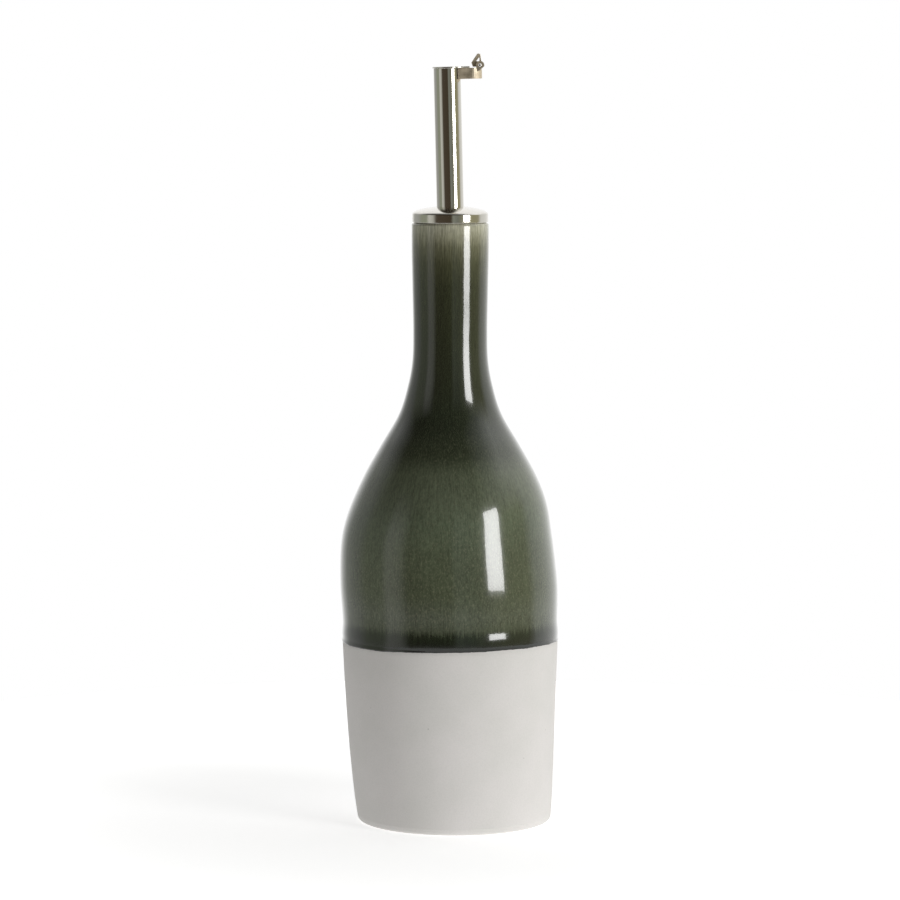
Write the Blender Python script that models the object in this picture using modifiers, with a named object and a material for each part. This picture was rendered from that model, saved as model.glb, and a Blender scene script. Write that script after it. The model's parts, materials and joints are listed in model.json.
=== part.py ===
"""A ceramic oil cruet with a stainless steel pourer.

The bottle is a stoneware body whose centreline wanders a little, as a hand-finished piece does.
A domed cap sits on its mouth and carries a straight stem, which ends in a short spout arm.
A folded flap hangs on a pin at the arm's tip, over the pouring mouth, and tips open when the
bottle is tilted to pour.

Metres, +Z up. The origin is on the surface that the bottle stands on, under the middle of its box.
"""

import math

import bmesh
import bpy
from mathutils import Matrix, Vector

MM = 0.001

# Places and gaps
NECK_AXIS_X = 0.38 * MM        # the neck's axis, measured from the middle of the box
GAP = 0.3 * MM                 # left between pieces that rest on each other
SIDES = 60

# Bottle
MOUTH_Z = 209.5 * MM
LIP_ROUND = 1.0 * MM
FOOT_RADIUS = 33.9 * MM
FOOT_ROUND = 1.6 * MM
# The outer wall between the lip and the foot, as height and radius in millimetres
WALL_STATIONS = [
    (208.5, 13.42), (200.0, 13.42), (186.0, 13.15), (171.0, 12.92), (161.5, 13.2),
    (153.3, 14.6), (143.0, 17.8), (132.3, 23.95), (121.7, 29.85), (111.2, 34.2),
    (100.5, 36.65), (88.0, 37.8), (76.0, 38.0), (60.0, 37.5), (30.7, 36.12), (9.3, 34.72),
    (1.6, 33.95),
]
WALL_STEPS = 3                 # profile points between two stations
# The wall leans out to the left at the shoulder, and its foot drifts to the right
SHOULDER_BULGE = 1.12 * MM
SHOULDER_BULGE_Z = 100.0 * MM
BULGE_ABOVE = 8.0 * MM
BULGE_BELOW = 13.0 * MM
FOOT_DRIFT = 1.45 * MM
FOOT_DRIFT_TOP = 62.0 * MM

# Cap
CAP_RADIUS = 13.2 * MM
CAP_BAND = 2.5 * MM            # height of its straight side
CAP_RISE = 2.9 * MM            # height of its dome above the band
CAP_EDGE_ROUND = 0.35 * MM
LAND_RADIUS = 5.1 * MM         # the flat that the stem stands on
DOME_STEPS = 10

# Pourer, in its own frame: origin at the foot of the stem, +Z up the stem, +X along the arm
LEAN_DEG = -1.35
STEM_RADIUS = 4.7 * MM
STEM_LENGTH = 47.45 * MM
STEM_TAPER = 0.5 * MM          # the stem's foot narrows a little over this height
ARM_TIP_X = 12.05 * MM
ARM_HALF_WIDTH = 3.4 * MM
ARM_HEIGHT = 3.75 * MM
ARM_EDGE_ROUND = 0.25 * MM
PLATE_RADIUS = 5.1 * MM
PLATE_THICKNESS = 1.35 * MM
PLATE_END_X = 7.9 * MM
PLATE_EDGE_ROUND = 0.45 * MM
# The pouring mouth is a pocket in the arm's top, and a shallow lip leads from it over the tip
POUR_X = 8.7 * MM
POUR_WIDTH = 3.9 * MM
POCKET_LENGTH = 2.6 * MM
POCKET_DEPTH = 2.4 * MM
LIP_DEPTH = 0.5 * MM

# Flap, its pin and the ears that hold it, in the pourer's frame
PIN_X = 11.45 * MM
PIN_ABOVE_ARM = 0.87 * MM
PIN_RADIUS = 0.42 * MM
PIN_HALF_LENGTH = 3.3 * MM
BORE_RADIUS = 0.58 * MM
EAR_RADIUS = 1.45 * MM
EAR_INNER_Y = 2.15 * MM
EAR_OUTER_Y = 3.15 * MM
EAR_SUNK = 1.2 * MM            # how far an ear reaches down into the arm
FLAP_HALF_WIDTH = 1.7 * MM
KNUCKLE_RADIUS = 1.0 * MM
# The folded flap's corners around the pin: foot, back of the foot, apex, front of the apex
FLAP_CORNERS = [(-2.5, -0.5), (-3.05, 0.9), (-1.0, 3.85), (-0.45, 4.05), (0.2, 3.8), (0.3, 3.4)]


def clear_scene():
    for thing in list(bpy.data.objects):
        bpy.data.objects.remove(thing, do_unlink=True)


def new_collection(name):
    collection = bpy.data.collections.new(name)
    bpy.context.scene.collection.children.link(collection)
    return collection


def new_material(name, colour, roughness, metallic):
    material = bpy.data.materials.new(name)
    material.use_nodes = True
    shader = material.node_tree.nodes["Principled BSDF"]
    shader.inputs["Base Color"].default_value = (*colour, 1.0)
    shader.inputs["Roughness"].default_value = roughness
    shader.inputs["Metallic"].default_value = metallic
    material.diffuse_color = (*colour, 1.0)
    return material


def add_object(name, mesh, collection, material=None):
    thing = bpy.data.objects.new(name, mesh)
    collection.objects.link(thing)
    if material:
        mesh.materials.append(material)
    return thing


def shade(mesh, angle_deg=35.0):
    mesh.shade_smooth()
    mesh.set_sharp_from_angle(angle=math.radians(angle_deg))


def apply_modifiers(thing):
    """Swap the object's mesh for the evaluated one, and drop its modifiers."""
    graph = bpy.context.evaluated_depsgraph_get()
    mesh = bpy.data.meshes.new_from_object(thing.evaluated_get(graph))
    old = thing.data
    thing.modifiers.clear()
    thing.data = mesh
    bpy.data.meshes.remove(old)
    return thing


def turned(name, profile, sides, collection, material=None):
    """Turn a profile of (radius, height) about Z. It runs down the outer side, axis to axis."""
    mesh = bpy.data.meshes.new(name)
    points = [(radius, 0.0, height) for radius, height in profile]
    edges = [(i, i + 1) for i in range(len(points) - 1)]
    mesh.from_pydata(points, edges, [])
    thing = add_object(name, mesh, collection)
    screw = thing.modifiers.new("turn", "SCREW")
    screw.steps = sides
    screw.render_steps = sides
    screw.use_merge_vertices = True
    screw.merge_threshold = 0.00002
    apply_modifiers(thing)
    if material:
        thing.data.materials.append(material)
    shade(thing.data)
    return thing


def arc(centre_x, centre_y, radius, start_deg, end_deg, steps):
    """Points on an arc, both ends included."""
    points = []
    for i in range(steps + 1):
        angle = math.radians(start_deg + (end_deg - start_deg) * i / steps)
        points.append((centre_x + radius * math.cos(angle), centre_y + radius * math.sin(angle)))
    return points


def smooth_curve(stations, steps):
    """A curve of (radius, height) through the stations, with slopes taken from their neighbours."""
    heights = [height * MM for height, radius in stations]
    radii = [radius * MM for height, radius in stations]
    last = len(stations) - 1
    slopes = []
    for i in range(last + 1):
        before, after = max(i - 1, 0), min(i + 1, last)
        slopes.append((radii[after] - radii[before]) / (heights[after] - heights[before]))
    points = []
    for i in range(last):
        span = heights[i + 1] - heights[i]
        for j in range(steps):
            t = j / steps
            radius = (
                (2 * t**3 - 3 * t**2 + 1) * radii[i]
                + (t**3 - 2 * t**2 + t) * span * slopes[i]
                + (3 * t**2 - 2 * t**3) * radii[i + 1]
                + (t**3 - t**2) * span * slopes[i + 1]
            )
            points.append((radius, heights[i] + span * t))
    points.append((radii[last], heights[last]))
    return points


def centre_line(height):
    """How far the bottle's middle stands to the right of the neck's axis at a height."""
    from_bulge = height - SHOULDER_BULGE_Z
    reach = BULGE_ABOVE if from_bulge > 0 else BULGE_BELOW
    shoulder = -SHOULDER_BULGE * math.exp(-0.5 * (from_bulge / reach) ** 2)
    drop = max(FOOT_DRIFT_TOP - height, 0.0) / FOOT_DRIFT_TOP
    return shoulder + FOOT_DRIFT * drop**2


def extruded(name, outlines, low, high, collection, material=None):
    """Extrude closed outlines of (x, y) between two heights. The second and later ones are holes."""
    curve = bpy.data.curves.new(name + "_outline", "CURVE")
    curve.dimensions = "2D"
    curve.fill_mode = "BOTH"
    curve.extrude = (high - low) / 2
    for outline in outlines:
        spline = curve.splines.new("POLY")
        spline.points.add(len(outline) - 1)
        for point, (x, y) in zip(spline.points, outline):
            point.co = (x, y, 0.0, 1.0)
        spline.use_cyclic_u = True
    source = bpy.data.objects.new(name + "_outline", curve)
    collection.objects.link(source)
    graph = bpy.context.evaluated_depsgraph_get()
    mesh = bpy.data.meshes.new_from_object(source.evaluated_get(graph))
    bpy.data.objects.remove(source, do_unlink=True)
    weld(mesh)
    mesh.transform(Matrix.Translation((0, 0, (high + low) / 2)))
    return add_object(name, mesh, collection, material)


def side_plate(name, outlines, low_y, high_y, collection, material=None):
    """Extrude outlines of (x, z) across the arm, between two places along Y."""
    plate = extruded(name, outlines, -high_y, -low_y, collection, material)
    plate.data.transform(Matrix.Rotation(math.radians(90), 4, "X"))
    return plate


def weld(mesh):
    work = bmesh.new()
    work.from_mesh(mesh)
    bmesh.ops.remove_doubles(work, verts=work.verts, dist=0.000002)
    bmesh.ops.recalc_face_normals(work, faces=work.faces)
    work.to_mesh(mesh)
    work.free()


def bevel(thing, width, segments, limit_deg=50.0):
    rounding = thing.modifiers.new("edges", "BEVEL")
    rounding.width = width
    rounding.segments = segments
    rounding.limit_method = "ANGLE"
    rounding.angle_limit = math.radians(limit_deg)
    rounding.use_clamp_overlap = True
    return apply_modifiers(thing)


def combine(thing, other, operation):
    """Cut or join one mesh with another, and remove the other."""
    step = thing.modifiers.new(operation.lower(), "BOOLEAN")
    step.operation = operation
    step.object = other
    step.solver = "EXACT"
    apply_modifiers(thing)
    bpy.data.objects.remove(other, do_unlink=True)
    return thing


def cutter_box(low, high, cutters):
    """A closed box between two corners."""
    work = bmesh.new()
    middle = (Vector(low) + Vector(high)) / 2
    size = Vector(high) - Vector(low)
    bmesh.ops.create_cube(work, size=1.0,
                          matrix=Matrix.Translation(middle) @ Matrix.Diagonal((*size, 1.0)))
    mesh = bpy.data.meshes.new("cutter")
    work.to_mesh(mesh)
    work.free()
    return add_object("cutter", mesh, cutters)


def rod_mesh(name, radius, length, sides, place):
    """A cylinder with its middle and direction given by a matrix."""
    work = bmesh.new()
    bmesh.ops.create_cone(work, cap_ends=True, segments=sides, radius1=radius, radius2=radius,
                          depth=length, matrix=place)
    mesh = bpy.data.meshes.new(name)
    work.to_mesh(mesh)
    work.free()
    return mesh


def make_bottle(collection, material):
    lip_radius = WALL_STATIONS[0][1] * MM
    lip = arc(lip_radius - LIP_ROUND, MOUTH_Z - LIP_ROUND, LIP_ROUND, 90, 0, 4)
    wall = smooth_curve(WALL_STATIONS, WALL_STEPS)[1:-1]
    foot = arc(FOOT_RADIUS - FOOT_ROUND, FOOT_ROUND, FOOT_ROUND, 0, -90, 4)
    profile = [(0.0, MOUTH_Z), *lip, *wall, *foot, (0.0, 0.0)]
    bottle = turned("bottle", profile, SIDES, collection, material)
    for vertex in bottle.data.vertices:
        vertex.co.x += NECK_AXIS_X + centre_line(vertex.co.z)
    return bottle


def make_cap(collection, material):
    """Build the cap, and return the height of the flat that the stem stands on."""
    low = MOUTH_Z + GAP
    band_top = low + CAP_BAND
    rim = arc(CAP_RADIUS - CAP_EDGE_ROUND, low + CAP_EDGE_ROUND, CAP_EDGE_ROUND, 0, -90, 3)
    dome = []
    end_angle = math.acos(LAND_RADIUS / CAP_RADIUS)
    for i in range(DOME_STEPS + 1):
        angle = end_angle * (1 - i / DOME_STEPS)
        dome.append((CAP_RADIUS * math.cos(angle), band_top + CAP_RISE * math.sin(angle)))
    profile = [(0.0, dome[0][1]), *dome, *rim, (0.0, low)]
    cap = turned("pourer_cap", profile, 56, collection, material)
    cap.location.x = NECK_AXIS_X
    return dome[0][1]


def make_stem(collection, material):
    profile = [
        (0.0, STEM_LENGTH), (STEM_RADIUS, STEM_LENGTH), (STEM_RADIUS, STEM_TAPER),
        (STEM_RADIUS - STEM_TAPER / 2, 0.0), (0.0, 0.0),
    ]
    return turned("stem_tube", profile, 48, collection, material)


def make_arm(collection, cutters, material):
    """The spout arm, with its ears, its pouring mouth and the hollow that fits the stem."""
    top = STEM_LENGTH
    round_end = arc(ARM_TIP_X - ARM_HALF_WIDTH, 0.0, ARM_HALF_WIDTH, -90, 90, 16)
    outline = [(0.0, -ARM_HALF_WIDTH), *round_end, (0.0, ARM_HALF_WIDTH)]
    arm = extruded("spout_arm", [outline], top - ARM_HEIGHT, top, collection, material)
    bevel(arm, ARM_EDGE_ROUND, 2)

    pin_z = top + PIN_ABOVE_ARM
    for side in (-1, 1):
        low_y, high_y = sorted((side * EAR_INNER_Y, side * EAR_OUTER_Y))
        over = arc(PIN_X, pin_z, EAR_RADIUS, -20, 200, 18)
        foot_z = top - EAR_SUNK
        foot_x = EAR_RADIUS * 0.7
        ear_outline = [*over, (PIN_X - foot_x, foot_z), (PIN_X - foot_x / 2, foot_z)]
        ear = side_plate("ear", [ear_outline], low_y, high_y, cutters)
        combine(arm, ear, "UNION")

    across = Matrix.Rotation(math.radians(90), 4, "X")
    bore = rod_mesh("bore", BORE_RADIUS, 4 * ARM_HALF_WIDTH, 20,
                    Matrix.Translation((PIN_X, 0, pin_z)) @ across)
    combine(arm, add_object("bore", bore, cutters), "DIFFERENCE")
    half = POUR_WIDTH / 2
    pocket = cutter_box((POUR_X, -half, top - POCKET_DEPTH),
                        (POUR_X + POCKET_LENGTH, half, top + ARM_HEIGHT), cutters)
    combine(arm, pocket, "DIFFERENCE")
    lip = cutter_box((POUR_X + POCKET_LENGTH / 2, -half, top - LIP_DEPTH),
                     (ARM_TIP_X + ARM_HEIGHT, half, top + 2 * ARM_HEIGHT), cutters)
    combine(arm, lip, "DIFFERENCE")
    hollow = rod_mesh("hollow", STEM_RADIUS + GAP, 4 * ARM_HEIGHT, 48, Matrix.Translation((0, 0, top)))
    combine(arm, add_object("hollow", hollow, cutters), "DIFFERENCE")
    weld(arm.data)
    shade(arm.data)
    return arm


def make_plate(collection, material):
    """The keyhole-shaped plate that closes the stem and covers the arm."""
    meet_deg = math.degrees(math.asin(ARM_HALF_WIDTH / PLATE_RADIUS))
    outline = [
        (PLATE_END_X, -ARM_HALF_WIDTH), (PLATE_END_X, ARM_HALF_WIDTH),
        *arc(0.0, 0.0, PLATE_RADIUS, meet_deg, 360 - meet_deg, 40),
    ]
    low = STEM_LENGTH + GAP
    plate = extruded("top_plate", [outline], low, low + PLATE_THICKNESS, collection, material)
    bevel(plate, PLATE_EDGE_ROUND, 3)
    shade(plate.data)
    return plate


def make_pin(collection, material):
    across = Matrix.Rotation(math.radians(90), 4, "X")
    place = Matrix.Translation((PIN_X, 0, STEM_LENGTH + PIN_ABOVE_ARM)) @ across
    mesh = rod_mesh("hinge_pin", PIN_RADIUS, 2 * PIN_HALF_LENGTH, 20, place)
    pin = add_object("hinge_pin", mesh, collection, material)
    bevel(pin, PIN_RADIUS / 4, 2)
    shade(pin.data)
    return pin


def make_flap(collection, material):
    """The folded flap, with its origin on the pin's axis."""
    corners = [(x * MM, z * MM) for x, z in FLAP_CORNERS]
    knuckle = arc(0.0, 0.0, KNUCKLE_RADIUS, 60, -150, 18)
    bore = arc(0.0, 0.0, BORE_RADIUS, 0, 360 - 18, 19)
    flap = side_plate("flap", [[*corners, *knuckle], bore], -FLAP_HALF_WIDTH, FLAP_HALF_WIDTH,
                      collection, material)
    bevel(flap, 0.12 * MM, 2, limit_deg=40.0)
    shade(flap.data)
    flap.location = (PIN_X, 0, STEM_LENGTH + PIN_ABOVE_ARM)
    return flap


def main():
    clear_scene()
    cruet = new_collection("oil_cruet")
    cutters = new_collection("cutters")
    ceramic = new_material("glazed_stoneware", (0.06, 0.08, 0.045), 0.25, 0.0)
    steel = new_material("polished_stainless_steel", (0.62, 0.61, 0.58), 0.12, 1.0)

    make_bottle(cruet, ceramic)
    land_z = make_cap(cruet, steel)

    pourer = bpy.data.objects.new("pourer", None)
    cruet.objects.link(pourer)
    pourer.location = (NECK_AXIS_X, 0.0, land_z + GAP)
    pourer.rotation_euler.y = math.radians(LEAN_DEG)
    pieces = [
        make_stem(cruet, steel),
        make_arm(cruet, cutters, steel),
        make_plate(cruet, steel),
        make_pin(cruet, steel),
        make_flap(cruet, steel),
    ]
    for piece in pieces:
        piece.parent = pourer
    bpy.data.collections.remove(cutters)


main()
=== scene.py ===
# %% [markdown]
# # A ceramic oil cruet with a steel pourer
#
# The real thing is a cast stoneware bottle, dipped neck-down in a green glaze and left bare below.
# A stainless steel pourer closes its mouth: a domed cap, a straight tube, a short spout arm and a
# small folded flap on a pin.
#
# This notebook dresses the solid model of the bottle. First it loads the model as a fixed frame.
# Everything below is placed by the sizes of that frame, in metres, with Z up.

# %% Load the frame
import json
import math

import bmesh
import bpy
from mathutils import Matrix, Vector, noise

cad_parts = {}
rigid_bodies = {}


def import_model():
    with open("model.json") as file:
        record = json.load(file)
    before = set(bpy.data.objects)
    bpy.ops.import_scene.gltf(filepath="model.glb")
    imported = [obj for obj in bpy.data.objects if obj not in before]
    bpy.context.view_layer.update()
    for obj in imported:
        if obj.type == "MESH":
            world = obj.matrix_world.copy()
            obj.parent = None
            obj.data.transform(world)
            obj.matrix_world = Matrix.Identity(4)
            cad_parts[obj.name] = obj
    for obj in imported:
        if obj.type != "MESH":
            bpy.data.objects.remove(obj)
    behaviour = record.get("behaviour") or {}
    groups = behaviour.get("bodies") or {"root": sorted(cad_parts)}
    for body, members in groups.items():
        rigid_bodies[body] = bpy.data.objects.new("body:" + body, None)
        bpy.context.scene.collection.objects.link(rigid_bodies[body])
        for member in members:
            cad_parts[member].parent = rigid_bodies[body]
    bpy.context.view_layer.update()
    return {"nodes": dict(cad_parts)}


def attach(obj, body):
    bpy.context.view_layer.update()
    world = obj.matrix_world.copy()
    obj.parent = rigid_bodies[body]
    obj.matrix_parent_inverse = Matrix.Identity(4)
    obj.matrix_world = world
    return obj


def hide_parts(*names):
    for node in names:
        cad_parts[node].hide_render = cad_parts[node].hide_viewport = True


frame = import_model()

print("nodes:", ", ".join(sorted(frame["nodes"])))

# %% [markdown]
# ## Small tools
#
# Lengths are easier to think about in millimetres, and colours in the hex values that a colour
# picker gives. Blender's shaders want linear colour, so one function turns a hex value into it.
# Another adds a shader node with its settings and its links in a single call, which keeps each
# material below readable from top to bottom.

# %% Units, colours and nodes
MM = 0.001


def hex_colour(code):
    """Turn an sRGB hex value such as 4A4D37 into linear red, green, blue and alpha."""
    channels = []
    for i in (0, 2, 4):
        value = int(code[i:i + 2], 16) / 255
        linear = value / 12.92 if value <= 0.04045 else ((value + 0.055) / 1.055) ** 2.4
        channels.append(linear)
    return (*channels, 1.0)


def add_node(tree, kind, inputs=None, **settings):
    """Add a node. An input given as a socket is linked, and any other value is set."""
    node = tree.nodes.new(kind)
    for name, value in settings.items():
        setattr(node, name, value)
    for name, value in (inputs or {}).items():
        if isinstance(value, bpy.types.NodeSocket):
            tree.links.new(value, node.inputs[name])
        else:
            node.inputs[name].default_value = value
    return node


def set_ramp(node, stops, interpolation="LINEAR"):
    """Fill a colour ramp with (position, colour) stops."""
    ramp = node.color_ramp
    ramp.interpolation = interpolation
    while len(ramp.elements) < len(stops):
        ramp.elements.new(0.5)
    for element, (position, colour) in zip(ramp.elements, stops):
        element.position = position
        element.color = colour
    return node


def new_material(name):
    """A material with only a shader and an output, returned with its tree and its shader."""
    material = bpy.data.materials.new(name)
    material.use_nodes = True
    tree = material.node_tree
    return material, tree, tree.nodes["Principled BSDF"]


def link(tree, out_socket, in_socket):
    tree.links.new(out_socket, in_socket)


def grey(value):
    return (value, value, value, 1.0)


# %% [markdown]
# ## The camera
#
# The photograph was taken from just above the top of the bottle, about a metre and a half away,
# with a long lens: the ellipses of the foot, the glaze line and the cap give the height and the
# distance together. The camera looks down by five and a half degrees and has no shift.

# %% Place the camera
CAMERA_DISTANCE = 1450 * MM
CAMERA_HEIGHT = 272 * MM
CAMERA_X = 0.3 * MM
LOOK_DOWN_DEG = 5.587
LENS_MM = 167.09
SENSOR_MM = 36.0

camera_data = bpy.data.cameras.new("camera")
camera_data.lens = LENS_MM
camera_data.sensor_width = SENSOR_MM
camera_data.clip_start = 0.05
camera = bpy.data.objects.new("camera", camera_data)
camera.location = (CAMERA_X, -CAMERA_DISTANCE, CAMERA_HEIGHT)
camera.rotation_euler = (math.radians(90 - LOOK_DOWN_DEG), 0, 0)
bpy.context.scene.collection.objects.link(camera)
bpy.context.scene.camera = camera
print("field of view:", round(math.degrees(camera_data.angle), 2), "degrees")

# %% [markdown]
# ## The outer wall of the bottle
#
# The bottle is a turned form, but not a perfect one: its shoulder leans out a little to one side
# and its foot drifts to the other, as a hand-finished piece does. So its shape is two functions of
# height: a radius, which is a smooth curve through a few stations, and the place of its middle.
# These are the same values that the solid was made from.

# %% Describe the wall
NECK_AXIS_X = 0.38 * MM
GAP = 0.3 * MM
MOUTH_Z = 209.5 * MM
LIP_ROUND = 1.0 * MM
FOOT_RADIUS = 33.9 * MM
FOOT_ROUND = 1.6 * MM
WALL_STATIONS = [
    (208.5, 13.42), (200.0, 13.42), (186.0, 13.15), (171.0, 12.92), (161.5, 13.2),
    (153.3, 14.6), (143.0, 17.8), (132.3, 23.95), (121.7, 29.85), (111.2, 34.2),
    (100.5, 36.65), (88.0, 37.8), (76.0, 38.0), (60.0, 37.5), (30.7, 36.12), (9.3, 34.72),
    (1.6, 33.95),
]
SHOULDER_BULGE = 1.12 * MM
SHOULDER_BULGE_Z = 100.0 * MM
BULGE_ABOVE = 8.0 * MM
BULGE_BELOW = 13.0 * MM
FOOT_DRIFT = 1.45 * MM
FOOT_DRIFT_TOP = 62.0 * MM


def wall_slope(i):
    before, after = max(i - 1, 0), min(i + 1, len(WALL_STATIONS) - 1)
    high, low = WALL_STATIONS[before], WALL_STATIONS[after]
    return (low[1] - high[1]) / (low[0] - high[0])


def wall_radius(z):
    """The radius of the outer wall at a height, in metres."""
    height = min(max(z / MM, WALL_STATIONS[-1][0]), WALL_STATIONS[0][0])
    i = 0
    while i < len(WALL_STATIONS) - 2 and height < WALL_STATIONS[i + 1][0]:
        i += 1
    (z0, r0), (z1, r1) = WALL_STATIONS[i], WALL_STATIONS[i + 1]
    span = z1 - z0
    t = (height - z0) / span
    radius = (
        (2 * t**3 - 3 * t**2 + 1) * r0 + (t**3 - 2 * t**2 + t) * span * wall_slope(i)
        + (3 * t**2 - 2 * t**3) * r1 + (t**3 - t**2) * span * wall_slope(i + 1)
    )
    return radius * MM


def centre_x(z):
    """Where the bottle's middle stands at a height."""
    from_bulge = z - SHOULDER_BULGE_Z
    reach = BULGE_ABOVE if from_bulge > 0 else BULGE_BELOW
    shoulder = -SHOULDER_BULGE * math.exp(-0.5 * (from_bulge / reach) ** 2)
    drop = max(FOOT_DRIFT_TOP - z, 0.0) / FOOT_DRIFT_TOP
    return NECK_AXIS_X + shoulder + FOOT_DRIFT * drop**2


widest = max(range(60, 120), key=lambda z: wall_radius(z * MM))
print("widest at", widest, "mm up:", round(2 * wall_radius(widest * MM) / MM, 1), "mm across")

# %% [markdown]
# ## Where the glaze ends
#
# The bottle was held by its foot and dipped, so the glaze ends in a line that is nearly level. It
# isn't exactly so: the bath tilts it, the glaze creeps before it sets, and the edge is ragged by a
# fraction of a millimetre. The line's height is a function of the angle round the bottle: two slow
# waves for the tilt and the creep, and noise on a circle for the rag, so that it closes on itself.

# %% Describe the glaze line
GLAZE_LINE_Z = 63.65 * MM
TILT_WAVE = 0.35 * MM
CREEP_WAVE = 0.35 * MM
TILT_DEG = 30.0
CREEP_DEG = 25.0
RAG_SLOW = 0.16 * MM
RAG_FINE = 0.11 * MM


def from_front(angle):
    """Turn an angle about Z, from +X, into one measured from the front, to the right."""
    return angle + math.pi / 2


def glaze_line(angle):
    """The height of the glaze's lower edge at an angle round the bottle."""
    turn = from_front(angle)
    wave = TILT_WAVE * math.cos(turn - math.radians(TILT_DEG))
    wave += CREEP_WAVE * math.cos(2 * (turn - math.radians(CREEP_DEG)))
    ring = Vector((math.cos(angle), math.sin(angle), 0))
    wave += RAG_SLOW * noise.noise(ring * 7.0 + Vector((3.1, 1.7, 0.4)))
    wave += RAG_FINE * noise.noise(ring * 38.0 + Vector((9.2, 4.4, 2.0)))
    return GLAZE_LINE_Z + wave


heights = [glaze_line(math.radians(a)) / MM for a in range(0, 360, 3)]
print("glaze line from", round(min(heights), 2), "to", round(max(heights), 2), "mm up")

# %% [markdown]
# ## Clay and glaze as two pieces
#
# A photograph shows the glaze as a colour, but it is a layer of glass near half a millimetre
# thick, with a swollen rim where it ran and stopped. Light catches that rim, so it has to be there
# in the shape. The clay is one closed turned form. The glaze is a skin over it, closed by a round
# nose at its lower edge and turned under the cap at the top, with its inner face sunk in the clay.
#
# Both are built from rings of points: a function gives the height and the radius of each ring at
# each angle, and one helper joins the rings with faces.

# %% Join rings of points into a closed form
ROUND_STEPS = 288


def closed_rings(name, rings, closed_loop=False):
    """Skin a list of rings. Its ends are filled, or joined to each other in a closed loop."""
    work = bmesh.new()
    rows = [[work.verts.new(point) for point in ring] for ring in rings]
    count = len(rows)
    for i in range(count if closed_loop else count - 1):
        upper, lower = rows[i], rows[(i + 1) % count]
        for j in range(len(upper)):
            k = (j + 1) % len(upper)
            work.faces.new((upper[j], lower[j], lower[k], upper[k]))
    if not closed_loop:
        work.faces.new(rows[0])
        work.faces.new(list(reversed(rows[-1])))
    bmesh.ops.recalc_face_normals(work, faces=work.faces)
    mesh = bpy.data.meshes.new(name)
    work.to_mesh(mesh)
    work.free()
    piece = bpy.data.objects.new(name, mesh)
    bpy.context.scene.collection.objects.link(piece)
    mesh.shade_smooth()
    return piece


def ring_at(radius, z):
    """A level ring round the bottle's middle at a height."""
    middle = centre_x(z)
    points = []
    for j in range(ROUND_STEPS):
        angle = 2 * math.pi * j / ROUND_STEPS
        points.append((middle + radius * math.cos(angle), radius * math.sin(angle), z))
    return points


def smooth_step(value):
    t = min(max(value, 0.0), 1.0)
    return t * t * (3 - 2 * t)


# %% [markdown]
# The clay's rings run from the top of the lip to the foot. Above the glaze line the clay steps in
# by the thickness of the glaze, so that the two together have the size of the real wall. Below it
# the bare clay has very slight rings from the wheel or the fettling sponge, deeper near the line.

# %% Build the clay body
GLAZE_THICKNESS = 0.4 * MM
CLAY_ROWS = 230
STEP_BELOW = 0.3 * MM
STEP_HEIGHT = 1.5 * MM
WHEEL_RING_DEPTH = 0.006 * MM
WHEEL_RING_PITCH = 2.3 * MM


def clay_radius(z):
    step = smooth_step((z - GLAZE_LINE_Z + STEP_BELOW) / STEP_HEIGHT)
    below = max(GLAZE_LINE_Z - z, 0.0)
    near_line = smooth_step(below / (2 * MM)) * math.exp(-below / (14 * MM))
    rings = WHEEL_RING_DEPTH * near_line * math.sin(2 * math.pi * z / WHEEL_RING_PITCH)
    return wall_radius(z) - GLAZE_THICKNESS * step + rings


def arc(middle, height, radius, start_deg, end_deg, steps):
    """Points (radius, z) on an arc, both ends included."""
    points = []
    for i in range(steps + 1):
        angle = math.radians(start_deg + (end_deg - start_deg) * i / steps)
        points.append((middle + radius * math.cos(angle), height + radius * math.sin(angle)))
    return points


def make_clay_body():
    lip_middle = wall_radius(MOUTH_Z) - LIP_ROUND
    lip = arc(lip_middle, MOUTH_Z - LIP_ROUND, LIP_ROUND - GLAZE_THICKNESS, 90, 0, 6)
    top, low = MOUTH_Z - 1.2 * LIP_ROUND, FOOT_ROUND * 1.05
    wall = []
    for i in range(CLAY_ROWS + 1):
        z = top + (low - top) * i / CLAY_ROWS
        wall.append((clay_radius(z), z))
    foot = arc(FOOT_RADIUS - FOOT_ROUND, FOOT_ROUND, FOOT_ROUND, 0, -90, 10)
    rings = [ring_at(radius, z) for radius, z in [*lip, *wall, *foot]]
    return closed_rings("clay_body", rings)


clay_body = make_clay_body()
print("clay body:", len(clay_body.data.polygons), "faces")

# %% [markdown]
# The glaze's outer face follows the wall. Near the line the glaze ran down and pooled: it is thin
# above the pool, thick in its last few millimetres, and rolls over there in a round nose. Rows are
# placed by their distance above the line, so the edge of the mesh is the edge of the glaze, and
# this distance fades to a plain height a few centimetres up.

# %% Build the glaze coat
POOL_HEIGHT = 7.2 * MM
POOL_FLAT = 2.6 * MM
POOL_EXTRA = 0.04 * MM
THIN_ABOVE = 0.34 * MM
THIN_HEIGHT = 20 * MM
NOSE_HEIGHT = 1.5 * MM
LINE_FADE = 30 * MM
GLAZE_ROWS = 190
NOSE_ROWS = 14
INNER_ROWS = 60
GLAZE_SUNK = 0.15 * MM
INNER_LIP = 1.0 * MM


def glaze_thickness(above):
    """The glaze's thickness at a distance above its edge."""
    pool = smooth_step((POOL_HEIGHT - above) / (POOL_HEIGHT - POOL_FLAT))
    drained = 1 - pool - smooth_step((above - POOL_HEIGHT) / (THIN_HEIGHT - POOL_HEIGHT))
    pooled = GLAZE_THICKNESS + POOL_EXTRA * pool - THIN_ABOVE * drained
    if above >= NOSE_HEIGHT:
        return pooled
    inward = 1 - above / NOSE_HEIGHT
    return pooled * math.sqrt(max(1 - inward**2, 0.0))


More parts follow.
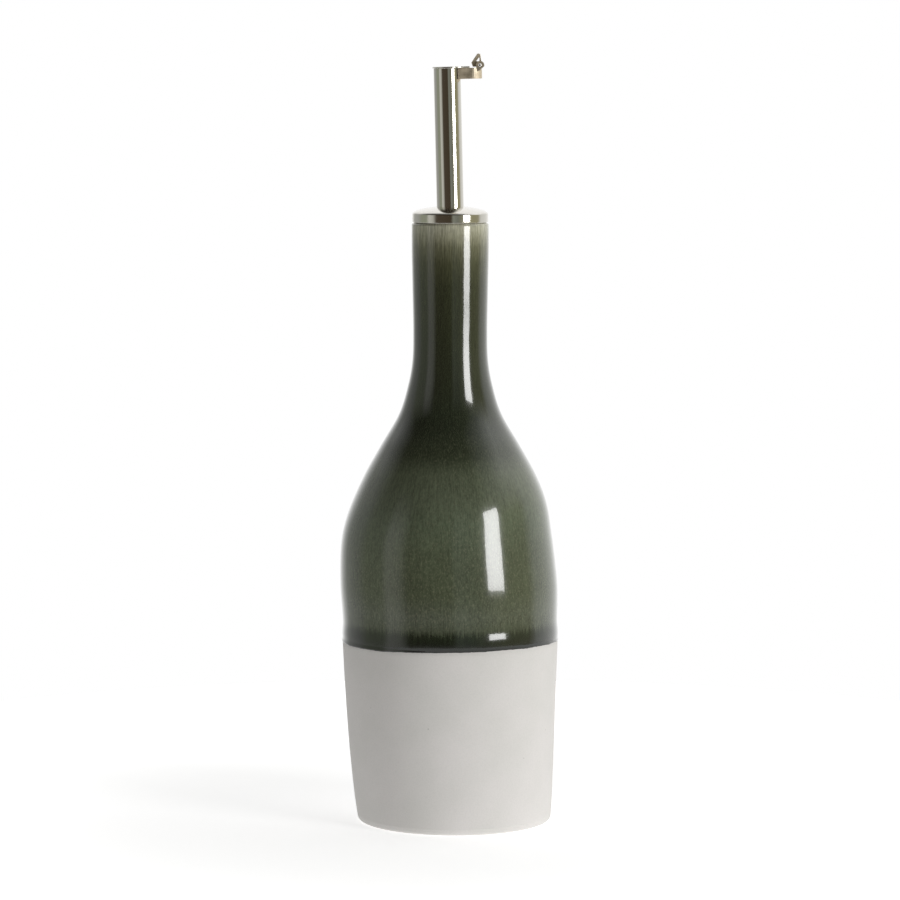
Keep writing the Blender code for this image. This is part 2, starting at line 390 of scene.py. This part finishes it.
def glaze_ring(above, inside=False):
    """A ring of the glaze, at a nominal distance above its edge."""
    fade = 1 - smooth_step(above / LINE_FADE)
    points = []
    for j in range(ROUND_STEPS):
        angle = 2 * math.pi * j / ROUND_STEPS
        line = GLAZE_LINE_Z + (glaze_line(angle) - GLAZE_LINE_Z) * fade
        z = line + above
        radius = clay_radius(z) + (-GLAZE_SUNK if inside else glaze_thickness(above))
        points.append((centre_x(z) + radius * math.cos(angle), radius * math.sin(angle), z))
    return points


def make_glaze_coat():
    top = MOUTH_Z - 1.2 * LIP_ROUND - GLAZE_LINE_Z
    lip_middle = wall_radius(MOUTH_Z) - LIP_ROUND
    inner_lip = lip_middle - INNER_LIP
    rings = [ring_at(inner_lip, MOUTH_Z)]
    rings += [ring_at(radius, z) for radius, z in arc(lip_middle, MOUTH_Z - LIP_ROUND, LIP_ROUND, 90, 0, 8)]
    for i in range(GLAZE_ROWS + 1):
        share = i / GLAZE_ROWS
        rings.append(glaze_ring(top + (NOSE_HEIGHT - top) * share))
    for i in range(1, NOSE_ROWS + 1):
        turn = math.pi / 2 * i / NOSE_ROWS
        rings.append(glaze_ring(NOSE_HEIGHT * (1 - math.sin(turn))))
    for i in range(INNER_ROWS + 1):
        rings.append(glaze_ring((top - LIP_ROUND) * i / INNER_ROWS, inside=True))
    rings.append(ring_at(inner_lip, MOUTH_Z - 2 * LIP_ROUND))
    return closed_rings("glaze_coat", rings, closed_loop=True)


glaze_coat = make_glaze_coat()
print("glaze coat:", len(glaze_coat.data.polygons), "faces")

# %% [markdown]
# ## Bare clay
#
# The lower part is unglazed stoneware, fired and rubbed smooth: bisque. It is an off-white, dry
# surface with no gloss, very faintly uneven in tone, with fine grain from the clay's sand and the
# odd pinhole. The grain of such a clay is a few tenths of a millimetre, which is near the size of a
# pixel in the render, so it is drawn a little coarser and very shallow.

# %% Bisque stoneware
CLAY_GRAIN = 0.5 * MM
CLAY_CLOUD = 18 * MM
PINHOLE_SPACING = 9 * MM


def bisque_stoneware():
    material, tree, shader = new_material("bisque_stoneware")
    place = add_node(tree, "ShaderNodeTexCoord").outputs["Object"]
    clouds = add_node(tree, "ShaderNodeTexNoise", {"Vector": place, "Scale": 1 / CLAY_CLOUD, "Detail": 3.0})
    grain = add_node(tree, "ShaderNodeTexNoise", {"Vector": place, "Scale": 1 / CLAY_GRAIN, "Detail": 4.0,
                                                  "Roughness": 0.6})
    tone = set_ramp(add_node(tree, "ShaderNodeValToRGB", {"Fac": clouds.outputs["Fac"]}), [
        (0.35, hex_colour("DBD9D6")), (0.65, hex_colour("E0DDDB")),
    ])
    speck = set_ramp(add_node(tree, "ShaderNodeValToRGB", {"Fac": grain.outputs["Fac"]}), [
        (0.3, grey(0.95)), (0.6, grey(1.0)),
    ])
    holes = add_node(tree, "ShaderNodeTexVoronoi", {"Vector": place, "Scale": 1 / PINHOLE_SPACING,
                                                    "Randomness": 1.0})
    pin = set_ramp(add_node(tree, "ShaderNodeValToRGB", {"Fac": holes.outputs["Distance"]}), [
        (0.018, grey(0.72)), (0.034, grey(1.0)),
    ])
    grained = add_node(tree, "ShaderNodeMixRGB", {"Fac": 1.0, "Color1": tone.outputs["Color"],
                                                  "Color2": speck.outputs["Color"]}, blend_type="MULTIPLY")
    colour = add_node(tree, "ShaderNodeMixRGB", {"Fac": 1.0, "Color1": grained.outputs["Color"],
                                                 "Color2": pin.outputs["Color"]}, blend_type="MULTIPLY")
    bump = add_node(tree, "ShaderNodeBump", {"Height": grain.outputs["Fac"], "Strength": 0.25,
                                             "Distance": 0.03 * MM})
    link(tree, colour.outputs["Color"], shader.inputs["Base Color"])
    link(tree, bump.outputs["Normal"], shader.inputs["Normal"])
    shader.inputs["Roughness"].default_value = 0.78
    shader.inputs["IOR"].default_value = 1.5
    shader.inputs["Specular IOR Level"].default_value = 0.3
    return material


clay_body.data.materials.append(bisque_stoneware())
print("clay body material:", clay_body.data.materials[0].name)

# %% [markdown]
# ## Green glaze
#
# A stoneware glaze is a thin layer of coloured glass with small crystals in it. Its colour follows
# its thickness: it breaks to a pale beige green where it ran thin at the lip, is a dark bottle green
# on the neck, a mottled mid green on the body, and nearly black in the pool above its edge. As it
# melts it runs down, so the mottling is drawn out into fine vertical hairs, called fur.
#
# The colour is one ramp by height, with the height pushed up and down by noise so that no band is
# ruled. The hairs are noise on coordinates squeezed in height. On a bottle the hairs run round with
# the angle, so the coordinates are the angle and the height, and not X, Y and Z.

# %% Glaze colours by height
GLAZE_COLOURS = [
    (63.0, "10140F"), (66.0, "151B13"), (69.4, "20281B"), (71.5, "464C3C"), (76.0, "4F5546"),
    (84.0, "4B523F"), (96.0, "4E5643"), (108.0, "56604D"), (116.0, "5D6552"), (124.0, "5C6450"),
    (130.0, "3A4130"), (139.0, "2B3224"), (150.0, "2A3022"), (170.0, "2D3222"), (188.0, "363A28"),
    (196.0, "4A4C37"), (201.5, "707059"), (205.5, "A2A18A"), (209.5, "C4C2AD"),
]
HAIR_WIDTH = 0.55 * MM
HAIR_STRETCH = 12.0
FLECK_WIDTH = 0.9 * MM
FLECK_STRETCH = 2.2
CRYSTAL_WIDTH = 0.42 * MM
CLOUD_WIDTH = 16 * MM
RIPPLE_WIDTH = 7 * MM
HAIR_PUSH = 0.035               # how far the hairs push the colour bands, as a share of their height
STEEP_FROM = 105 * MM           # the hairs grow stronger between these heights
STEEP_TO = 150 * MM
POOL_TOP = 69 * MM              # the crystals fade in between these heights
CRYSTALS_FULL = 74 * MM
CRYSTALS_FADE = 125 * MM        # and they thin out again up the neck
CRYSTALS_END = 150 * MM


def height_share(height_mm):
    low, high = GLAZE_COLOURS[0][0], GLAZE_COLOURS[-1][0]
    return (height_mm - low) / (high - low)


def glaze_coordinates(tree):
    """Coordinates in metres for noise on a bottle: direction round it, scaled to the body, and height."""
    place = add_node(tree, "ShaderNodeTexCoord").outputs["Object"]
    split = add_node(tree, "ShaderNodeSeparateXYZ", {"Vector": place})
    flat = add_node(tree, "ShaderNodeCombineXYZ", {"X": split.outputs["X"], "Y": split.outputs["Y"]})
    round_it = add_node(tree, "ShaderNodeVectorMath", {0: flat.outputs["Vector"]}, operation="NORMALIZE")
    body = wall_radius(widest * MM)
    sized = add_node(tree, "ShaderNodeVectorMath", {0: round_it.outputs["Vector"], "Scale": body},
                     operation="SCALE")
    return sized.outputs["Vector"], split.outputs["Z"]


def stretched(tree, around, height, stretch):
    """Coordinates with the height squeezed, so that noise on them is drawn out downwards."""
    squeezed = add_node(tree, "ShaderNodeMath", {0: height, 1: 1 / stretch}, operation="MULTIPLY")
    up = add_node(tree, "ShaderNodeCombineXYZ", {"Z": squeezed.outputs[0]})
    both = add_node(tree, "ShaderNodeVectorMath", {0: around, 1: up.outputs["Vector"]}, operation="ADD")
    return both.outputs["Vector"]


def green_glaze():
    material, tree, shader = new_material("green_stoneware_glaze")
    around, height = glaze_coordinates(tree)
    hairs = add_node(tree, "ShaderNodeTexNoise", {
        "Vector": stretched(tree, around, height, HAIR_STRETCH), "Scale": 1 / HAIR_WIDTH, "Detail": 2.0,
    })
    flecks = add_node(tree, "ShaderNodeTexNoise", {
        "Vector": stretched(tree, around, height, FLECK_STRETCH), "Scale": 1 / FLECK_WIDTH, "Detail": 3.0,
        "Roughness": 0.65,
    })
    clouds = add_node(tree, "ShaderNodeTexNoise", {
        "Vector": stretched(tree, around, height, 1.6), "Scale": 1 / CLOUD_WIDTH, "Detail": 2.0,
    })

    # The height that picks the colour, pushed about by the runs and the clouds
    low, high = GLAZE_COLOURS[0][0] * MM, GLAZE_COLOURS[-1][0] * MM
    share = add_node(tree, "ShaderNodeMapRange", {"Value": height, "From Min": low, "From Max": high})
    push_hair = add_node(tree, "ShaderNodeMath", {0: hairs.outputs["Fac"], 1: 0.5}, operation="SUBTRACT")
    push = add_node(tree, "ShaderNodeMath", {0: push_hair.outputs[0], 1: HAIR_PUSH}, operation="MULTIPLY")
    pushed = add_node(tree, "ShaderNodeMath", {0: share.outputs["Result"], 1: push.outputs[0]},
                      operation="ADD")
    stops = [(height_share(z), hex_colour(code)) for z, code in GLAZE_COLOURS]
    tint = set_ramp(add_node(tree, "ShaderNodeValToRGB", {"Fac": pushed.outputs[0]}), stops)

    # Crystals and hairs lighten and darken it, with the hairs strongest on the steep neck
    steep = add_node(tree, "ShaderNodeMapRange", {
        "Value": height, "From Min": STEEP_FROM, "From Max": STEEP_TO, "To Min": 0.35, "To Max": 1.0,
    })
    hair = add_node(tree, "ShaderNodeMath", {0: push_hair.outputs[0], 1: steep.outputs["Result"]},
                    operation="MULTIPLY")
    mottle = add_node(tree, "ShaderNodeMath", {0: hair.outputs[0], 1: flecks.outputs["Fac"]},
                      operation="ADD")
    mottled = add_node(tree, "ShaderNodeMapRange", {
        "Value": mottle.outputs[0], "From Min": 0.3, "From Max": 0.7, "To Min": 0.76, "To Max": 1.3,
    })
    cloudy = add_node(tree, "ShaderNodeMapRange", {
        "Value": clouds.outputs["Fac"], "From Min": 0.3, "From Max": 0.7, "To Min": 0.88, "To Max": 1.12,
    })
    strength = add_node(tree, "ShaderNodeMath", {0: mottled.outputs["Result"], 1: cloudy.outputs["Result"]},
                        operation="MULTIPLY")
    shaded = add_node(tree, "ShaderNodeVectorMath", {0: tint.outputs["Color"],
                                                     "Scale": strength.outputs[0]}, operation="SCALE")

    # Pale warm crystals, a few in each square millimetre, missing from the thick dark pool
    crystals = add_node(tree, "ShaderNodeTexNoise", {
        "Vector": stretched(tree, around, height, 1.8), "Scale": 1 / CRYSTAL_WIDTH, "Detail": 1.0,
    })
    dots = add_node(tree, "ShaderNodeMapRange", {
        "Value": crystals.outputs["Fac"], "From Min": 0.5, "From Max": 0.75, "To Max": 0.36,
    })
    above_pool = add_node(tree, "ShaderNodeMapRange", {
        "Value": height, "From Min": POOL_TOP, "From Max": CRYSTALS_FULL,
    })
    below_neck = add_node(tree, "ShaderNodeMapRange", {
        "Value": height, "From Min": CRYSTALS_END, "From Max": CRYSTALS_FADE, "To Min": 0.15,
    })
    where = add_node(tree, "ShaderNodeMath", {0: above_pool.outputs["Result"],
                                              1: below_neck.outputs["Result"]}, operation="MULTIPLY")
    amount = add_node(tree, "ShaderNodeMath", {0: dots.outputs["Result"], 1: where.outputs[0]},
                      operation="MULTIPLY")
    colour = add_node(tree, "ShaderNodeMixRGB", {
        "Fac": amount.outputs[0], "Color1": shaded.outputs["Vector"], "Color2": hex_colour("85866E"),
    })
    link(tree, colour.outputs["Color"], shader.inputs["Base Color"])

    # The glass surface is smooth but not flat, which softens straight reflections a little
    ripple = add_node(tree, "ShaderNodeTexNoise", {
        "Vector": stretched(tree, around, height, 1.5), "Scale": 1 / RIPPLE_WIDTH, "Detail": 2.0,
    })
    bump = add_node(tree, "ShaderNodeBump", {"Height": ripple.outputs["Fac"], "Strength": 0.35,
                                             "Distance": 0.08 * MM})
    link(tree, bump.outputs["Normal"], shader.inputs["Normal"])
    link(tree, bump.outputs["Normal"], shader.inputs["Coat Normal"])
    shader.inputs["Roughness"].default_value = 0.16
    shader.inputs["IOR"].default_value = 1.52
    shader.inputs["Coat Weight"].default_value = 1.0
    shader.inputs["Coat Roughness"].default_value = 0.04
    shader.inputs["Coat IOR"].default_value = 1.52
    return material


glaze_coat.data.materials.append(green_glaze())
print("glaze colours:", len(GLAZE_COLOURS))

# %% [markdown]
# ## Polished stainless steel
#
# The pourer is stamped and drawn from stainless sheet and tube, then polished. Polished steel has
# hardly a colour of its own: it is a slightly warm mirror, and what it shows is the room. The last
# buffing leaves very fine lines, round the turned parts and along the tube, which blur reflections
# a little. Real lines are a few micrometres apart, far too fine to show, so they are drawn at a
# fifth of a millimetre and kept very faint.

# %% Stainless steel
BUFFING_PITCH = 0.2 * MM


def polished_steel(name, along, roughness=0.085, tint="EEEBE4"):
    """Polished stainless steel. The buffing lines are long in the axis named by along."""
    material, tree, shader = new_material(name)
    place = add_node(tree, "ShaderNodeTexCoord").outputs["Object"]
    fine, long = 1 / BUFFING_PITCH, 1 / (BUFFING_PITCH * 60)
    scale = [long if axis == along else fine for axis in "XYZ"]
    lines = add_node(tree, "ShaderNodeVectorMath", {0: place, 1: scale}, operation="MULTIPLY")
    buffed = add_node(tree, "ShaderNodeTexNoise", {"Vector": lines.outputs["Vector"], "Scale": 1.0,
                                                   "Detail": 2.0})
    smear = add_node(tree, "ShaderNodeTexNoise", {"Vector": place, "Scale": 1 / (5 * MM), "Detail": 3.0})
    rough = add_node(tree, "ShaderNodeMapRange", {
        "Value": smear.outputs["Fac"], "From Min": 0.35, "From Max": 0.7,
        "To Min": roughness * 0.75, "To Max": roughness * 1.4,
    })
    tone = set_ramp(add_node(tree, "ShaderNodeValToRGB", {"Fac": buffed.outputs["Fac"]}), [
        (0.35, tuple(0.94 * c for c in hex_colour(tint)[:3]) + (1.0,)), (0.65, hex_colour(tint)),
    ])
    bump = add_node(tree, "ShaderNodeBump", {"Height": buffed.outputs["Fac"], "Strength": 0.03,
                                             "Distance": 0.01 * MM})
    link(tree, tone.outputs["Color"], shader.inputs["Base Color"])
    link(tree, rough.outputs["Result"], shader.inputs["Roughness"])
    link(tree, bump.outputs["Normal"], shader.inputs["Normal"])
    shader.inputs["Metallic"].default_value = 1.0
    return material


tube_steel = polished_steel("drawn_and_polished_steel_tube", "Z")
stamped_steel = polished_steel("stamped_and_polished_steel", "X", roughness=0.12)
satin_steel = polished_steel("satin_brushed_steel", "X", roughness=0.5, tint="EDE0CA")
print("steels:", ", ".join(m.name for m in (tube_steel, stamped_steel, satin_steel)))

# %% [markdown]
# ## The cap
#
# The cap is a shallow dome pressed from sheet, with a straight band round its edge. A turned form
# is a profile swept round an axis. Blender's Screw modifier does that from a line of points, and
# here it gives a form with 160 sides, fine enough for clean reflections. The dome is a quarter of
# an ellipse, and the tube sinks a little into it.

# %% Turn the cap
CAP_RADIUS = 13.2 * MM
CAP_BAND = 2.5 * MM
CAP_RISE = 2.9 * MM
CAP_EDGE_ROUND = 0.35 * MM
LAND_RADIUS = 5.1 * MM
DOME_STEPS = 48
CAP_LOW = MOUTH_Z + 0.05 * MM


def turned(name, profile, sides, material):
    """Turn a profile of (radius, height), which runs down the outer side, axis to axis."""
    mesh = bpy.data.meshes.new(name)
    points = [(radius, 0.0, height) for radius, height in profile]
    mesh.from_pydata(points, [(i, i + 1) for i in range(len(points) - 1)], [])
    piece = bpy.data.objects.new(name, mesh)
    bpy.context.scene.collection.objects.link(piece)
    screw = piece.modifiers.new("turn", "SCREW")
    screw.steps = sides
    screw.render_steps = sides
    screw.use_merge_vertices = True
    screw.merge_threshold = 0.00001
    return apply_modifiers(piece, material)


def apply_modifiers(piece, material=None, sharp_deg=40.0):
    """Keep the shape that the modifiers give, shade it smooth and give it its material."""
    graph = bpy.context.evaluated_depsgraph_get()
    mesh = bpy.data.meshes.new_from_object(piece.evaluated_get(graph))
    piece.modifiers.clear()
    piece.data = mesh
    if material:
        mesh.materials.clear()
        mesh.materials.append(material)
    mesh.shade_smooth()
    mesh.set_sharp_from_angle(angle=math.radians(sharp_deg))
    return piece


def make_cap():
    band_top = MOUTH_Z + GAP + CAP_BAND
    rim = arc(CAP_RADIUS - CAP_EDGE_ROUND, CAP_LOW + CAP_EDGE_ROUND, CAP_EDGE_ROUND, 0, -90, 6)
    dome = []
    for i in range(DOME_STEPS):
        angle = math.pi / 2 * (1 - (i + 1) / DOME_STEPS)
        dome.append((CAP_RADIUS * math.cos(angle), band_top + CAP_RISE * math.sin(angle)))
    profile = [(0.0, band_top + CAP_RISE), *dome, *rim, (0.0, CAP_LOW)]
    cap = turned("domed_cap", profile, 160, stamped_steel)
    cap.data.transform(Matrix.Translation((NECK_AXIS_X, 0, 0)))
    land_angle = math.acos(LAND_RADIUS / CAP_RADIUS)
    return cap, band_top + CAP_RISE * math.sin(land_angle)


domed_cap, LAND_Z = make_cap()
print("the tube stands", round(LAND_Z / MM, 2), "mm up")

# %% [markdown]
# ## The tube
#
# The tube leans a little over one degree away from the spout arm's side, as the photograph shows.
# So the pourer has its own frame: a matrix that puts its foot on the cap's land and leans it. Each
# of its pieces is made upright and then moved by that matrix, which keeps its sizes simple.

# %% Turn the tube
LEAN_DEG = -1.35
STEM_RADIUS = 4.7 * MM
STEM_LENGTH = 47.45 * MM
POURER = Matrix.Translation((NECK_AXIS_X, 0, LAND_Z + GAP)) @ Matrix.Rotation(math.radians(LEAN_DEG), 4, "Y")


def make_tube():
    edge = 0.15 * MM
    top_edge = arc(STEM_RADIUS - edge, STEM_LENGTH - edge, edge, 90, 0, 3)
    foot = -2 * GAP
    profile = [(0.0, STEM_LENGTH), *top_edge, (STEM_RADIUS, foot), (0.0, foot)]
    tube = turned("pourer_tube", profile, 128, tube_steel)
    tube.data.transform(POURER)
    return tube


pourer_tube = make_tube()
print("tube:", round(2 * STEM_RADIUS / MM, 1), "mm across and", round(STEM_LENGTH / MM, 1), "mm long")

# %% [markdown]
# ## The top plate
#
# A keyhole-shaped plate closes the tube and runs out over the arm. It is a flat outline with some
# thickness and softly rounded edges, so it is made as one face that is extruded and bevelled.

# %% Extrude the top plate
ARM_HALF_WIDTH = 3.4 * MM
PLATE_RADIUS = 5.1 * MM
PLATE_THICKNESS = 0.6 * MM
PLATE_END_X = 7.9 * MM
PLATE_EDGE_ROUND = 0.25 * MM
PLATE_ABOVE_TUBE = 0.03 * MM


def slab(name, outline, low, high, edge, material, segments=5):
    """A flat outline of (x, y) between two heights, with rounded edges."""
    work = bmesh.new()
    base = work.faces.new([work.verts.new((x, y, low)) for x, y in outline])
    lifted = bmesh.ops.extrude_face_region(work, geom=[base])["geom"]
    rise = [v for v in lifted if isinstance(v, bmesh.types.BMVert)]
    bmesh.ops.translate(work, verts=rise, vec=(0, 0, high - low))
    bmesh.ops.recalc_face_normals(work, faces=work.faces)
    mesh = bpy.data.meshes.new(name)
    work.to_mesh(mesh)
    work.free()
    piece = bpy.data.objects.new(name, mesh)
    bpy.context.scene.collection.objects.link(piece)
    rounding = piece.modifiers.new("edges", "BEVEL")
    rounding.width = edge
    rounding.segments = segments
    rounding.limit_method = "ANGLE"
    rounding.angle_limit = math.radians(50)
    rounding.harden_normals = True
    return apply_modifiers(piece, material)


def make_plate():
    meet_deg = math.degrees(math.asin(ARM_HALF_WIDTH / PLATE_RADIUS))
    outline = [
        (PLATE_END_X, -ARM_HALF_WIDTH), (PLATE_END_X, ARM_HALF_WIDTH),
        *arc(0.0, 0.0, PLATE_RADIUS, meet_deg, 360 - meet_deg, 96),
    ]
    low = STEM_LENGTH + PLATE_ABOVE_TUBE
    plate = slab("keyhole_plate", outline, low, low + PLATE_THICKNESS, PLATE_EDGE_ROUND, stamped_steel)
    plate.data.transform(POURER)
    return plate


keyhole_plate = make_plate()
print("plate:", len(keyhole_plate.data.polygons), "faces")

# %% [markdown]
# ## The flap
#
# The flap is one strip of sheet, folded over at its top and rolled into a knuckle round the pin, so
# from the side it is a narrow triangle with a ring at its corner. A Blender curve can have holes: its
# first loop is the outline and the others are cut out of it. It is drawn flat, thickened, and stood
# up across the arm.

# %% Fold the flap
PIN_X = 11.45 * MM
PIN_ABOVE_ARM = 0.87 * MM
BORE_RADIUS = 0.55 * MM
KNUCKLE_RADIUS = 1.0 * MM
FLAP_HALF_WIDTH = 1.7 * MM
FLAP_EDGE_ROUND = 0.08 * MM
FLAP_FOLD = [(-2.5, -0.5), (-3.0, 0.9), (-1.0, 3.77), (-0.8, 3.94), (-0.45, 4.0), (0.05, 3.85), (0.2, 3.6)]
FLAP_INSIDE = [(-1.3, 1.42), (-0.35, 2.62), (-0.15, 2.5), (-0.2, 1.2)]


def make_flap():
    knuckle = arc(0.0, 0.0, KNUCKLE_RADIUS, 60, -150, 40)
    loops = [
        [*[(x * MM, z * MM) for x, z in FLAP_FOLD], *knuckle],
        [(x * MM, z * MM) for x, z in FLAP_INSIDE],
        arc(0.0, 0.0, BORE_RADIUS, 0, 350, 35),
    ]
    curve = bpy.data.curves.new("flap_strip", "CURVE")
    curve.dimensions = "2D"
    curve.fill_mode = "BOTH"
    curve.extrude = FLAP_HALF_WIDTH - FLAP_EDGE_ROUND
    curve.bevel_depth = FLAP_EDGE_ROUND
    curve.bevel_resolution = 2
    curve.offset = -FLAP_EDGE_ROUND
    for loop in loops:
        spline = curve.splines.new("POLY")
        spline.points.add(len(loop) - 1)
        spline.use_cyclic_u = True
        for point, (x, z) in zip(spline.points, loop):
            point.co = (x, z, 0, 1)
    drawn = bpy.data.objects.new("flap_drawn", curve)
    bpy.context.scene.collection.objects.link(drawn)
    graph = bpy.context.evaluated_depsgraph_get()
    mesh = bpy.data.meshes.new_from_object(drawn.evaluated_get(graph))
    bpy.data.objects.remove(drawn)
    mesh.transform(Matrix.Rotation(math.radians(90), 4, "X"))
    mesh.transform(POURER @ Matrix.Translation((PIN_X, 0, STEM_LENGTH + PIN_ABOVE_ARM)))
    mesh.materials.clear()
    mesh.materials.append(satin_steel)
    mesh.shade_smooth()
    mesh.set_sharp_from_angle(angle=math.radians(40))
    flap = bpy.data.objects.new("flap_strip", mesh)
    bpy.context.scene.collection.objects.link(flap)
    return flap


flap_strip = make_flap()
print("flap:", len(flap_strip.data.polygons), "faces")

# %% [markdown]
# ## The parts that stay as they are
#
# The arm and its pin are small, and the solids already have their shape. They keep it, and only get
# the steel: the arm is brushed to a satin, which blurs the room into one warm tone.

# %% Dress the arm and the pin
for name, steel in (("spout_arm", satin_steel), ("hinge_pin", stamped_steel)):
    node = frame["nodes"][name]
    node.data.materials.clear()
    node.data.materials.append(steel)

# %% [markdown]
# ## Which body each piece rides on
#
# The model has two bodies: the cruet, and the flap that tips open. Each new piece rides on the body
# of the node that it stands for, so that the picture moves as the model does.

# %% Ride and replace
for piece, node in (
    (clay_body, "bottle"), (glaze_coat, "bottle"), (domed_cap, "pourer_cap"),
    (pourer_tube, "stem_tube"), (keyhole_plate, "top_plate"),
):
    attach(piece, "cruet")
    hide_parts(node)
    steel = node != "bottle"

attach(flap_strip, "flap")
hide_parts("flap")

# %% [markdown]
# ## Floor, light and surroundings
#
# Glossy things are drawn by what they reflect. The glaze and the steel show a tall bright panel at
# the front right, a dark room behind the camera and pale walls to the sides and back. So the world
# is a ramp round the horizon with those tones, and one area light is the panel. The camera itself
# sees plain white round the small pale floor. Two settings are there for the look, and no real room
# has them: the world lights matt surfaces less from the left than it shows in mirrors, and the
# floor's glow is weaker in reflections than it is to the eye.

# %% World
def make_world():
    world = bpy.data.worlds.new("studio")
    bpy.context.scene.world = world
    world.use_nodes = True
    tree = world.node_tree
    background = tree.nodes["Background"]
    direction = add_node(tree, "ShaderNodeTexCoord").outputs["Generated"]
    split = add_node(tree, "ShaderNodeSeparateXYZ", {"Vector": direction})
    around = add_node(tree, "ShaderNodeTexGradient", {"Vector": direction}, gradient_type="RADIAL")
    walls = set_ramp(add_node(tree, "ShaderNodeValToRGB", {"Fac": around.outputs["Fac"]}), [
        (share_of_turn(angle), hex_colour(code)) for angle, code in WALLS
    ])
    back_right = add_node(tree, "ShaderNodeVectorMath", {0: direction, 1: (0.4, 0.9, 0.0)},
                          operation="DOT_PRODUCT")
    front_to_back = add_node(tree, "ShaderNodeMapRange", {"Value": back_right.outputs["Value"],
                                                          "From Min": -1.0, "From Max": 1.0})
    ceiling = set_ramp(add_node(tree, "ShaderNodeValToRGB", {"Fac": front_to_back.outputs["Result"]}), [
        ((reach + 1) / 2, hex_colour(code)) for reach, code in CEILING
    ])
    raised = add_node(tree, "ShaderNodeMapRange", {"Value": split.outputs["Z"], "From Min": 0.3,
                                                   "From Max": 0.6})
    room = add_node(tree, "ShaderNodeMixRGB", {"Fac": raised.outputs["Result"],
                                               "Color1": walls.outputs["Color"],
                                               "Color2": ceiling.outputs["Color"]})
    seen = add_node(tree, "ShaderNodeLightPath").outputs["Is Camera Ray"]
    shown = add_node(tree, "ShaderNodeMixRGB", {"Fac": seen, "Color1": room.outputs["Color"],
                                                "Color2": grey(1.0)})
    link(tree, shown.outputs["Color"], background.inputs["Color"])

    # The soft fill on matt surfaces is weaker from the left, where no window stands
    fill = add_node(tree, "ShaderNodeMapRange", {"Value": split.outputs["X"], "From Min": -1.0,
                                                 "From Max": 1.0, "To Min": FILL_LEFT, "To Max": FILL_RIGHT})
    matt = add_node(tree, "ShaderNodeLightPath").outputs["Is Diffuse Ray"]
    strength = add_node(tree, "ShaderNodeMix", {"Factor": matt, "A": 1.0, "B": fill.outputs["Result"]})
    link(tree, strength.outputs["Result"], background.inputs["Strength"])


# Degrees to the right of the camera, seen from the bottle, and the tone of the room there
WALLS = [
    (-90, "8B8F80"), (-76, "8B8F80"), (-68, "C2C2BC"), (-54, "B0B0A9"), (-44, "4A4238"), (3, "423A2E"),
    (9, "80837A"), (22, "70726A"), (60, "8A8766"), (94, "96927A"), (106, "D0D0CC"), (140, "E4E4E2"),
    (165, "FFFFFF"), (195, "FFFFFF"), (222, "A4A5A2"), (248, "9A9B98"), (262, "8B8F80"),
]
FILL_LEFT = 0.56
FILL_RIGHT = 0.86
# The same overhead, from the front left, at -1, through straight up, at 0, to the back right, at 1
CEILING = [(-1.0, "2A2620"), (-0.3, "38342E"), (0.05, "A0A1A0"), (0.4, "F8F8F8"), (1.0, "FFFFFF")]


def share_of_turn(angle):
    """Where an angle to the right of the camera falls on Blender's radial gradient."""
    return (angle + 90) / 360


make_world()
print("tones round the room:", len(WALLS))

# %% [markdown]
# The panel's place is worked out from the bottle: its reflection on the body sits about 26
# degrees round to the right, so the panel stands twice that angle round. Its height is read the
# same way, from how high on the body and the neck its reflection ends.

# %% Panel light and floor
PANEL_TURN_DEG = 51
PANEL_DISTANCE = 1.3
PANEL_WIDTH = 0.43
PANEL_HEIGHT = 0.685
PANEL_MIDDLE_Z = 0.388
PANEL_RADIANCE = 8.4
FLOOR_RADIUS = 0.32
FLOOR_GLOW_IN_PAINTED_SHADOW = 0.62               # the floor's own light near the bottle, dimmed there as a painted soft shadow round its foot, which grows to full at its rim
MIRRORED_GLOW = 0.25            # the share of that light that glaze and steel reflect


def make_panel(name, turn_deg, distance, middle_z, width, height, radiance):
    data = bpy.data.lights.new(name, "AREA")
    data.shape = "RECTANGLE"
    data.size = width
    data.size_y = height
    data.energy = radiance * math.pi * width * height
    panel = bpy.data.objects.new(name, data)
    turn = math.radians(turn_deg)
    panel.location = (distance * math.sin(turn), -distance * math.cos(turn), middle_z)
    target = Vector((0, 0, middle_z))
    panel.rotation_euler = (target - panel.location).to_track_quat("-Z", "Y").to_euler()
    bpy.context.scene.collection.objects.link(panel)
    return panel


make_panel("window_panel", PANEL_TURN_DEG, PANEL_DISTANCE, PANEL_MIDDLE_Z, PANEL_WIDTH, PANEL_HEIGHT,
           PANEL_RADIANCE)


def make_floor():
    bpy.ops.mesh.primitive_circle_add(vertices=96, radius=FLOOR_RADIUS, fill_type="NGON", location=(0, 0, 0))
    floor = bpy.context.object
    floor.name = "floor"
    material, tree, shader = new_material("white_sweep")
    place = add_node(tree, "ShaderNodeTexCoord").outputs["Object"]
    reach = add_node(tree, "ShaderNodeVectorMath", {0: place}, operation="LENGTH")
    # The glow is weakest near the bottle and grows outwards: a painted soft shadow round its foot
    glow = add_node(tree, "ShaderNodeMapRange", {
        "Value": reach.outputs["Value"], "From Min": 0.25 * FLOOR_RADIUS, "From Max": FLOOR_RADIUS,
        "To Min": FLOOR_GLOW_IN_PAINTED_SHADOW, "To Max": 1.0,
    }, interpolation_type="SMOOTHSTEP")
    mirrored = add_node(tree, "ShaderNodeLightPath").outputs["Is Glossy Ray"]
    share = add_node(tree, "ShaderNodeMapRange", {"Value": mirrored, "To Min": 1.0, "To Max": MIRRORED_GLOW})
    lit = add_node(tree, "ShaderNodeMath", {0: glow.outputs["Result"], 1: share.outputs["Result"]},
                   operation="MULTIPLY")
    link(tree, lit.outputs[0], shader.inputs["Emission Strength"])
    shader.inputs["Base Color"].default_value = grey(0.85)
    shader.inputs["Roughness"].default_value = 0.9
    shader.inputs["Emission Color"].default_value = grey(1.0)
    floor.data.materials.append(material)
    return floor


make_floor()
bpy.context.scene.view_settings.view_transform = "Standard"
print("panel radiance:", PANEL_RADIANCE)
